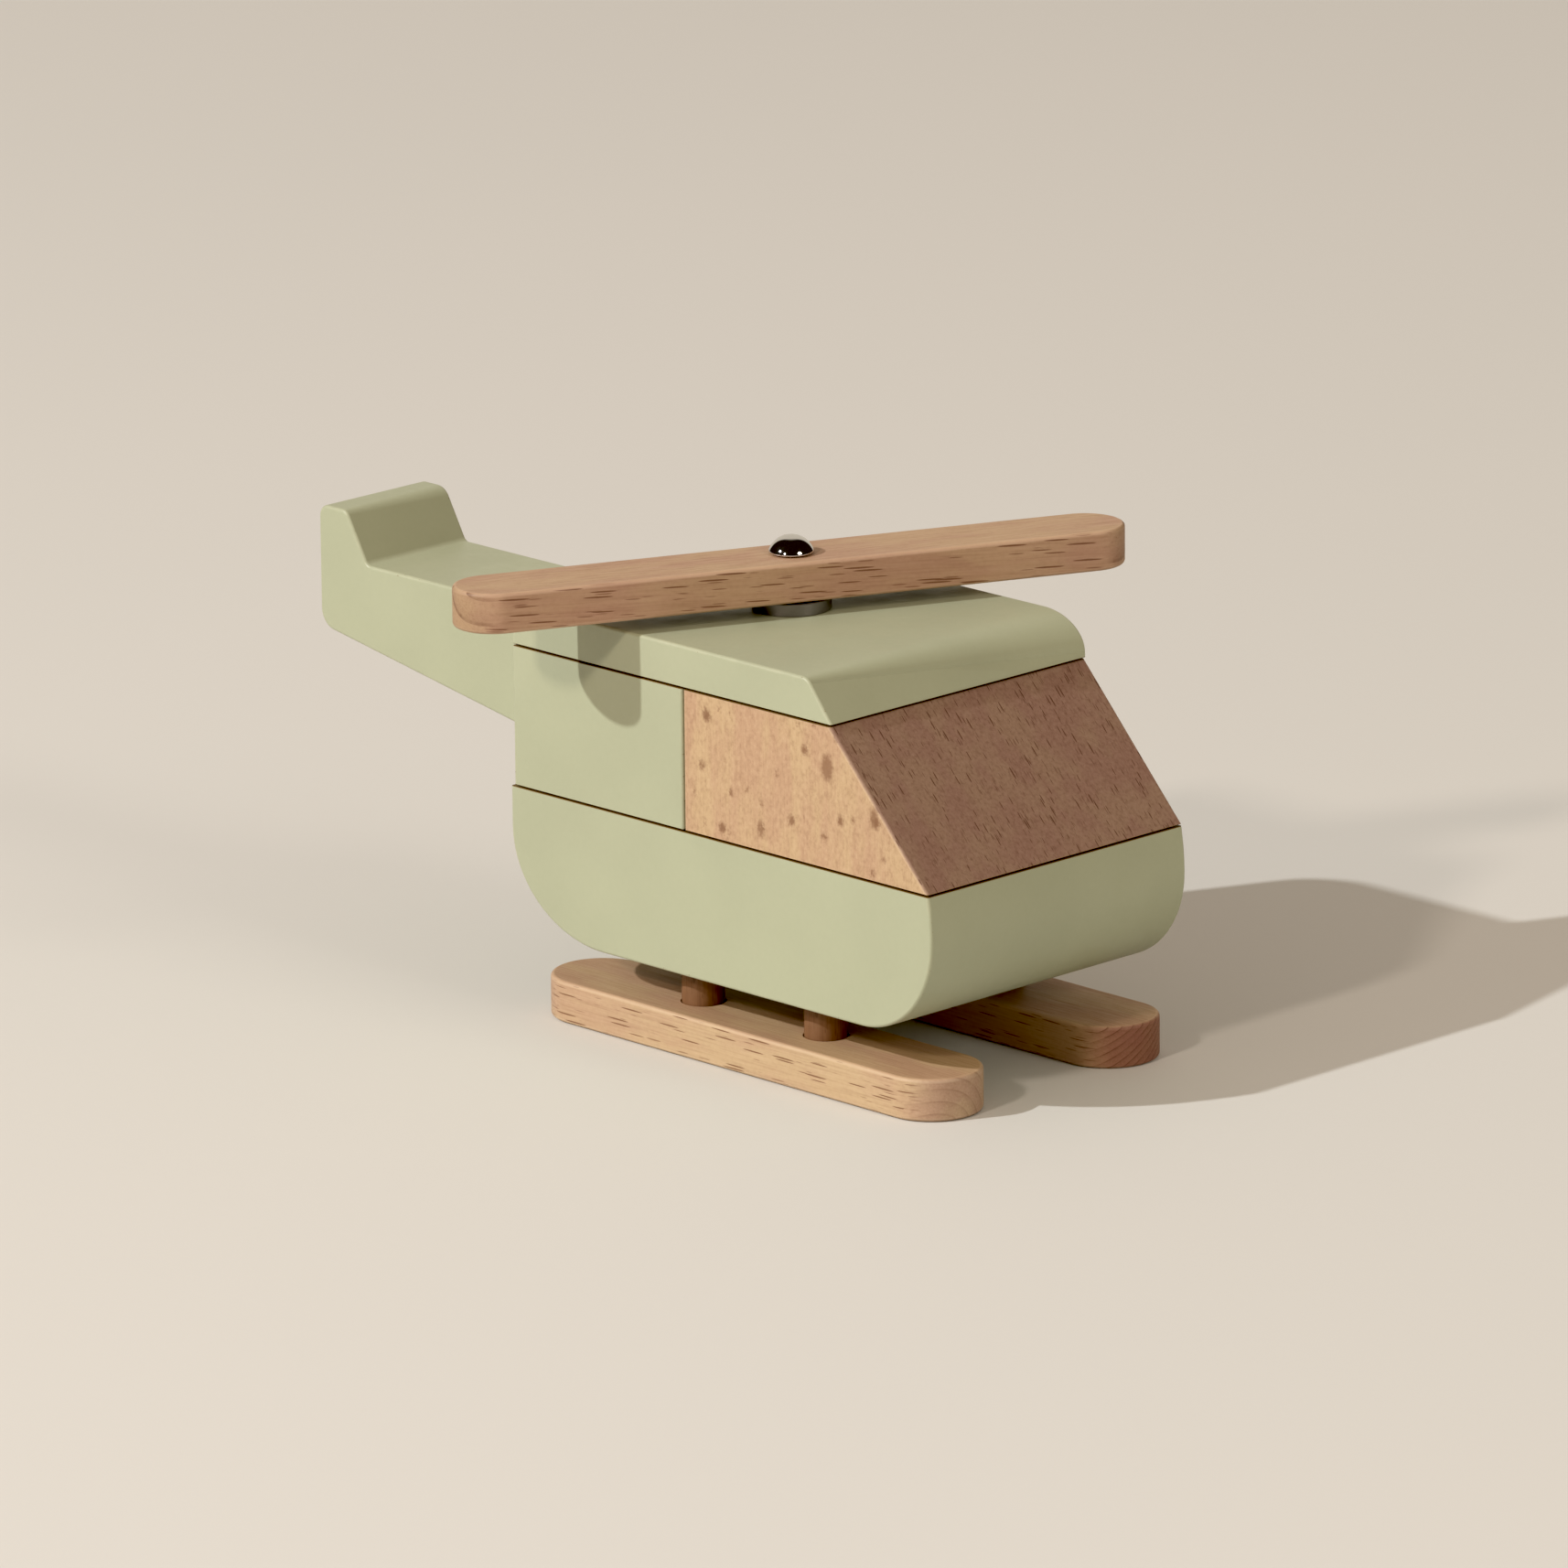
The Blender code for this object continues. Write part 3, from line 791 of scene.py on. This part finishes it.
def bored(piece, holes):
    """Cut round holes; each hole is (centre, axis letter, diameter, length)."""
    for center, axis, diameter, length in holes:
        form = rod_mesh(diameter / 2, length)
        if axis == "x":
            form.transform(Matrix.Rotation(math.radians(90), 4, "Y"))
        form.transform(Matrix.Translation(center))
        cutter = to_object("cutter", form)
        cut = piece.modifiers.new("bore", "BOOLEAN")
        cut.operation = "DIFFERENCE"
        cut.solver = "EXACT"
        cut.object = cutter
        settle(piece)
        bpy.data.objects.remove(cutter)


def socket(node):
    """The hole that a peg sits in, taken from the peg's own box."""
    low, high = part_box(node)
    size = high - low
    axis = "x" if size.x > size.z else "z"
    diameter = size.y + 2 * HOLE_CLEARANCE
    length = max(size.x, size.z) + 2 * HOLE_CLEARANCE
    return ((low + high) / 2, axis, diameter, length)


def turned(name, profile, facets=96):
    """A solid of revolution about +Z; profile is a closed loop of (radius, height) points."""
    form = bmesh.new()
    rings = []
    for radius, height in profile:
        count = 1 if radius == 0.0 else facets
        ring = []
        for step in range(count):
            angle = 2 * math.pi * step / facets
            ring.append(form.verts.new((radius * math.cos(angle), radius * math.sin(angle), height)))
        rings.append(ring)
    for index, ring in enumerate(rings):
        following = rings[(index + 1) % len(rings)]
        if len(ring) == 1 and len(following) == 1:
            continue
        for step in range(facets):
            after = (step + 1) % facets
            corners = [ring[step % len(ring)], ring[after % len(ring)]]
            corners += [following[after % len(following)], following[step % len(following)]]
            form.faces.new(list(dict.fromkeys(corners)))
    bmesh.ops.recalc_face_normals(form, faces=form.faces)
    return to_object(name, form)


def present(piece, material, slot, body, node):
    """Give a finished piece its material, smooth shading and body, and hide the CAD node it replaces."""
    piece.data.materials.clear()
    piece.data.materials.append(material)
    piece.data.shade_smooth()
    piece.data.set_sharp_from_angle(angle=SMOOTH_ANGLE)
    weighted = piece.modifiers.new("even_normals", "WEIGHTED_NORMAL")
    weighted.keep_sharp = True
    weighted.weight = NORMAL_WEIGHT
    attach(piece, body)
    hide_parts(node)


# ---------------------------------------------------------------- pieces


STRUTS = ("strut_front_left", "strut_front_right", "strut_rear_left", "strut_rear_right")
HULL_REAR_DOWELS = ("dowel_hull_rear_left", "dowel_hull_rear_right")
HULL_WINDOW_DOWELS = ("dowel_hull_window_left", "dowel_hull_window_right")
ROOF_REAR_DOWELS = ("dowel_roof_rear_left", "dowel_roof_rear_right")
ROOF_WINDOW_DOWELS = ("dowel_roof_window_left", "dowel_roof_window_right")
HULL_DOWELS = HULL_REAR_DOWELS + HULL_WINDOW_DOWELS
ROOF_DOWELS = ROOF_REAR_DOWELS + ROOF_WINDOW_DOWELS
TAIL_DOWELS = ("dowel_tail_lower", "dowel_tail_upper")


def sockets(nodes):
    return [socket(node) for node in nodes]


def make_hull(paint):
    low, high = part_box("hull")
    foot_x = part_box("window_block")[1].x
    rear_center = (low.x + HULL_REAR_CORNER[0], low.z + HULL_REAR_CORNER[1])
    nose_center = (high.x - HULL_NOSE_CORNER[0], low.z + HULL_NOSE_CORNER[1])
    outline = [(low.x, high.z)]
    outline += quarter_ellipse(rear_center, HULL_REAR_CORNER, 180.0)
    outline += quarter_ellipse(nose_center, HULL_NOSE_CORNER, 270.0)
    rise = high.z - nose_center[1]
    for step in range(1, HULL_LEAN_STEPS + 1):
        part = step / HULL_LEAN_STEPS
        outline.append((high.x - (high.x - foot_x) * part ** 2, nose_center[1] + rise * part))
    seams = (high.z,)
    hull = block("hull_finished", outline, "y", low.y, high.y, BLOCK_ARRIS, seam_levels=seams)
    bored(hull, sockets(STRUTS + HULL_DOWELS))
    present(hull, paint, "sage_paint", "airframe", "hull")


def make_rear_block(paint):
    low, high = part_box("rear_block")
    outline = [(low.x, low.z), (high.x, low.z), (high.x, high.z), (low.x, high.z)]
    seams = (low.z, high.z)
    rear = block("rear_block_finished", outline, "y", low.y, high.y, BLOCK_ARRIS, seam_levels=seams)
    bored(rear, sockets(HULL_REAR_DOWELS + ROOF_REAR_DOWELS + TAIL_DOWELS))
    present(rear, paint, "sage_paint", "airframe", "rear_block")


def make_window_block(wood):
    low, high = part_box("window_block")
    top_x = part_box("roof")[1].x - WINDSCREEN_SETBACK
    outline = [(low.x, low.z), (high.x, low.z), (top_x, high.z), (low.x, high.z)]
    seams = (low.z, high.z)
    name = "window_block_finished"
    window = block(name, outline, "y", low.y, high.y, BLOCK_ARRIS, seam_levels=seams)
    bored(window, sockets(HULL_WINDOW_DOWELS + ROOF_WINDOW_DOWELS))
    present(window, wood, "natural_beech", "airframe", "window_block")


def roof_outline(low, high, nose):
    """The roof's side view with the given nose. Its rear top corner is a quarter ellipse."""
    rear_center = (low.x + ROOF_CORNER[0], high.z - ROOF_CORNER[1])
    rear = quarter_ellipse(rear_center, ROOF_CORNER, 90.0)
    return [(low.x, low.z), (high.x, low.z)] + nose + rear


def make_roof(paint):
    """The roof slab. Its nose is planed almost flat on the right and rounded on the left."""
    low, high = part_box("roof")
    foot = (high.x, low.z)
    top = (high.x - ROOF_SLOPE, high.z)
    planed = rounded_corner(foot, top, (low.x, high.z), ROOF_SLOPE_RADIUS, 28)
    nose_center = (high.x - ROOF_CORNER[0], high.z - ROOF_CORNER[1])
    round_nose = quarter_ellipse(nose_center, ROOF_CORNER, 0.0)
    right = roof_outline(low, high, planed)
    left = roof_outline(low, high, round_nose)
    roof = block("roof_finished", right, "y", low.y, high.y, BLOCK_ARRIS, left, (low.z,))
    bored(roof, sockets(ROOF_DOWELS + ("axle_clip", "rotor_axle")))
    present(roof, paint, "sage_paint", "airframe", "roof")


def make_tail(paint):
    low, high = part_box("tail")
    boom_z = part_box("roof")[0].z
    root_bottom = (high.x, low.z)
    root_top = (high.x, boom_z)
    fin_foot = (low.x + FIN_FRONT_FOOT, boom_z)
    fin_front = (low.x + FIN_FRONT_TOP, high.z)
    fin_rear = (low.x, high.z)
    tip_bottom = (low.x, TAIL_TIP_BOTTOM_Z)
    outlines = []
    for nose_radius in FIN_NOSE_RADII:
        outline = [root_bottom, root_top]
        outline += rounded_corner(root_top, fin_foot, fin_front, FIN_FOOT_RADIUS)
        outline += rounded_corner(fin_foot, fin_front, fin_rear, nose_radius)
        outline += rounded_corner(fin_front, fin_rear, tip_bottom, FIN_REAR_RADIUS)
        outline += rounded_corner(fin_rear, tip_bottom, root_bottom, TAIL_TIP_RADIUS)
        outlines.append(outline)
    tail = block("tail_finished", outlines[0], "y", low.y, high.y, BLOCK_ARRIS, outlines[1])
    bored(tail, sockets(TAIL_DOWELS))
    present(tail, paint, "sage_paint", "airframe", "tail")


def make_skid(side, wood):
    low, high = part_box("skid_" + side)
    middle = (low + high) / 2
    outline = stadium(high.x - low.x, high.y - low.y)
    outline = [(middle.x + u, middle.y + v) for u, v in outline]
    skid = block("skid_" + side + "_finished", outline, "z", low.z, high.z, BOARD_ARRIS)
    bored(skid, sockets([name for name in STRUTS if name.endswith(side)]))
    present(skid, wood, "natural_beech", "airframe", "skid_" + side)


def ring_profile(inner, outer, height, edge):
    """The section of a rod or ring whose outer corners are cut off by edge."""
    return [
        (inner, 0.0),
        (outer - edge, 0.0),
        (outer, edge),
        (outer, height - edge),
        (outer - edge, height),
        (inner, height),
    ]


def make_strut(node, wood):
    low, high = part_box(node)
    profile = ring_profile(0.0, (high.y - low.y) / 2, high.z - low.z, STRUT_CHAMFER)
    strut = turned(node + "_finished", profile)
    strut.location = ((low.x + high.x) / 2, (low.y + high.y) / 2, low.z)
    present(strut, wood, "natural_beech", "airframe", node)


def make_blade(wood):
    low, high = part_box("rotor_blade")
    middle = (low + high) / 2
    thickness = high.z - low.z
    outline = stadium(BLADE_LENGTH, BLADE_WIDTH)
    blade = block("rotor_blade_finished", outline, "z", 0.0, thickness, BOARD_ARRIS)
    bored(blade, [(Vector((0.0, 0.0, thickness / 2)), "z", AXLE_HOLE, thickness * 2)])
    blade.location = (middle.x, middle.y, low.z)
    blade.rotation_euler = (0.0, 0.0, BLADE_ANGLE)
    present(blade, wood, "natural_beech", "rotor", "rotor_blade")


def make_cap(chrome):
    low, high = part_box("rotor_cap")
    axle_low, axle_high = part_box("rotor_axle")
    radius = (high.y - low.y) / 2
    bore = (axle_high.y - axle_low.y) / 2 + HOLE_CLEARANCE
    rise = high.z - low.z - CAP_RIM
    sphere_radius = (radius ** 2 + rise ** 2) / (2 * rise)
    half_angle = math.asin(radius / sphere_radius)
    top = CAP_RIM + rise
    profile = [(bore, 0.0), (radius - CAP_LIP, 0.0), (radius, CAP_LIP)]
    steps = 24
    for step in range(steps):
        angle = half_angle * (1 - step / steps)
        profile.append((sphere_radius * math.sin(angle), top - sphere_radius * (1 - math.cos(angle))))
    depth = axle_high.z + HOLE_CLEARANCE - low.z
    profile += [(0.0, top), (0.0, depth), (bore, depth)]
    cap = turned("rotor_cap_finished", profile)
    cap.location = ((low.x + high.x) / 2, (low.y + high.y) / 2, low.z)
    present(cap, chrome, "cap_chrome", "rotor", "rotor_cap")


def make_washer(steel):
    low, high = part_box("rotor_washer")
    axle_low, axle_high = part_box("rotor_axle")
    outer = (high.y - low.y) / 2
    inner = (axle_high.y - axle_low.y) / 2 + HOLE_CLEARANCE
    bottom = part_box("roof")[1].z + WASHER_GAP
    profile = ring_profile(inner, outer, high.z - bottom, WASHER_EDGE)
    washer = turned("rotor_washer_finished", profile)
    washer.location = ((low.x + high.x) / 2, (low.y + high.y) / 2, bottom)
    present(washer, steel, "axle_steel", "airframe", "rotor_washer")


def carry_over(node, material):
    """A hidden CAD piece keeps its own shape and takes a finished material."""
    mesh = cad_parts[node].data
    mesh.materials.clear()
    mesh.materials.append(material)


# ---------------------------------------------------------------- stage


def make_floor():
    form = bmesh.new()
    bmesh.ops.create_grid(form, x_segments=FLOOR_CELLS, y_segments=FLOOR_CELLS, size=FLOOR_HALF)
    floor = to_object("floor", form)
    floor.location.z = CAD_BOUNDS[0].z - FLOOR_DROP
    floor.data.materials.append(floor_paper())


def area_light(name, toward, distance, size, power, color):
    """A round lamp that shines on the toy from the direction toward."""
    data = bpy.data.lights.new(name, "AREA")
    data.shape = "DISK"
    data.size = size
    data.energy = power
    data.color = color
    lamp = link(name, data)
    direction = Vector(toward).normalized()
    lamp.location = CAMERA_TARGET + direction * distance
    lamp.rotation_euler = direction.to_track_quat("Z", "Y").to_euler()


def share_used(tree, part, reach):
    """How far a direction has gone towards the backdrop's edge along one axis, squared."""
    share = calc(tree, "DIVIDE", calc(tree, "ABSOLUTE", part), reach)
    return calc(tree, "POWER", share, 2.0)


def backdrop_seen(tree, direction, height):
    """1 where a direction meets the pale backdrop behind the toy, 0 elsewhere."""
    backward = (-math.sin(CAMERA_AZIMUTH), math.cos(CAMERA_AZIMUTH), 0.0)
    sideways = (math.cos(CAMERA_AZIMUTH), math.sin(CAMERA_AZIMUTH), 0.0)
    behind = calc_vector(tree, "DOT_PRODUCT", direction, backward)["Value"]
    aside = calc_vector(tree, "DOT_PRODUCT", direction, sideways)["Value"]
    width_used = share_used(tree, aside, BACKDROP_REACH[0])
    height_used = share_used(tree, height, BACKDROP_REACH[1])
    used = calc(tree, "ADD", width_used, height_used)
    inside = smooth_range(tree, used, BACKDROP_EDGE[0], BACKDROP_EDGE[1])
    return calc(tree, "MULTIPLY", inside, smooth_range(tree, behind, 0.0, 0.3))


def make_world():
    """Soft room light. Glossy faces mirror a dark room with the backdrop behind the toy."""
    world = bpy.data.worlds.new("studio")
    world.use_nodes = True
    tree = world.node_tree
    direction = tree.nodes.new("ShaderNodeTexCoord").outputs["Generated"]
    height = add_node(tree, "ShaderNodeSeparateXYZ", {0: direction}).outputs["Z"]
    lift = calc(tree, "MAXIMUM", height, 0.0)
    room = mix_colors(tree, lift, rgba(ROOM_LOW), rgba(ROOM_HIGH))
    backdrop = backdrop_seen(tree, direction, height)
    mirrored = mix_colors(tree, backdrop, rgba(ROOM_DARK), rgba(BACKDROP))
    glossy = tree.nodes.new("ShaderNodeLightPath").outputs["Is Glossy Ray"]
    seen = mix_colors(tree, glossy, room, mirrored)
    tree.links.new(seen, tree.nodes["Background"].inputs["Color"])
    bpy.context.scene.world = world


def make_camera():
    data = bpy.data.cameras.new("camera")
    data.lens = CAMERA_LENS
    data.sensor_width = CAMERA_SENSOR
    data.clip_start = CAMERA_CLIP[0]
    data.clip_end = CAMERA_CLIP[1]
    camera = link("camera", data)
    level = math.cos(CAMERA_ELEVATION)
    back = Vector((
        math.sin(CAMERA_AZIMUTH) * level,
        -math.cos(CAMERA_AZIMUTH) * level,
        math.sin(CAMERA_ELEVATION),
    ))
    right = Vector((math.cos(CAMERA_AZIMUTH), math.sin(CAMERA_AZIMUTH), 0.0))
    up = back.cross(right)
    turn = Matrix((right, up, back)).transposed() @ Matrix.Rotation(CAMERA_ROLL, 3, "Z")
    camera.matrix_world = Matrix.Translation(CAMERA_TARGET + back * CAMERA_DISTANCE) @ turn.to_4x4()
    bpy.context.scene.camera = camera


# ---------------------------------------------------------------- build


def set_contrast():
    view = bpy.context.scene.view_settings
    view.view_transform = "Standard"
    view.use_curve_mapping = True
    view.curve_mapping.black_level = (BLACK_LEVEL, BLACK_LEVEL, BLACK_LEVEL)
    view.curve_mapping.update()


def build():
    make_camera()
    make_world()
    for name, lamp in LAMPS.items():
        area_light(name, **lamp)
    make_floor()
    paint = sage_paint()
    window_wood = beech("window_beech", "z", WINDOW_LOOK)
    skid_woods = {
        "left": beech("left_skid_beech", "x", LEFT_SKID_LOOK),
        "right": beech("right_skid_beech", "x", RIGHT_SKID_LOOK),
    }
    blade_wood = beech("blade_beech", "x", BLADE_LOOK)
    dowel_wood = beech("dowel_beech", "z", DOWEL_LOOK)
    steel = washer_steel()
    chrome = cap_chrome()
    make_hull(paint)
    make_rear_block(paint)
    make_window_block(window_wood)
    make_roof(paint)
    make_tail(paint)
    for side in ("left", "right"):
        make_skid(side, skid_woods[side])
    for node in STRUTS:
        make_strut(node, dowel_wood)
    make_blade(blade_wood)
    make_cap(chrome)
    make_washer(steel)
    for node in HULL_DOWELS + ROOF_DOWELS + TAIL_DOWELS:
        carry_over(node, dowel_wood)
    carry_over("rotor_axle", steel)
    carry_over("axle_clip", steel)
    set_contrast()


build()
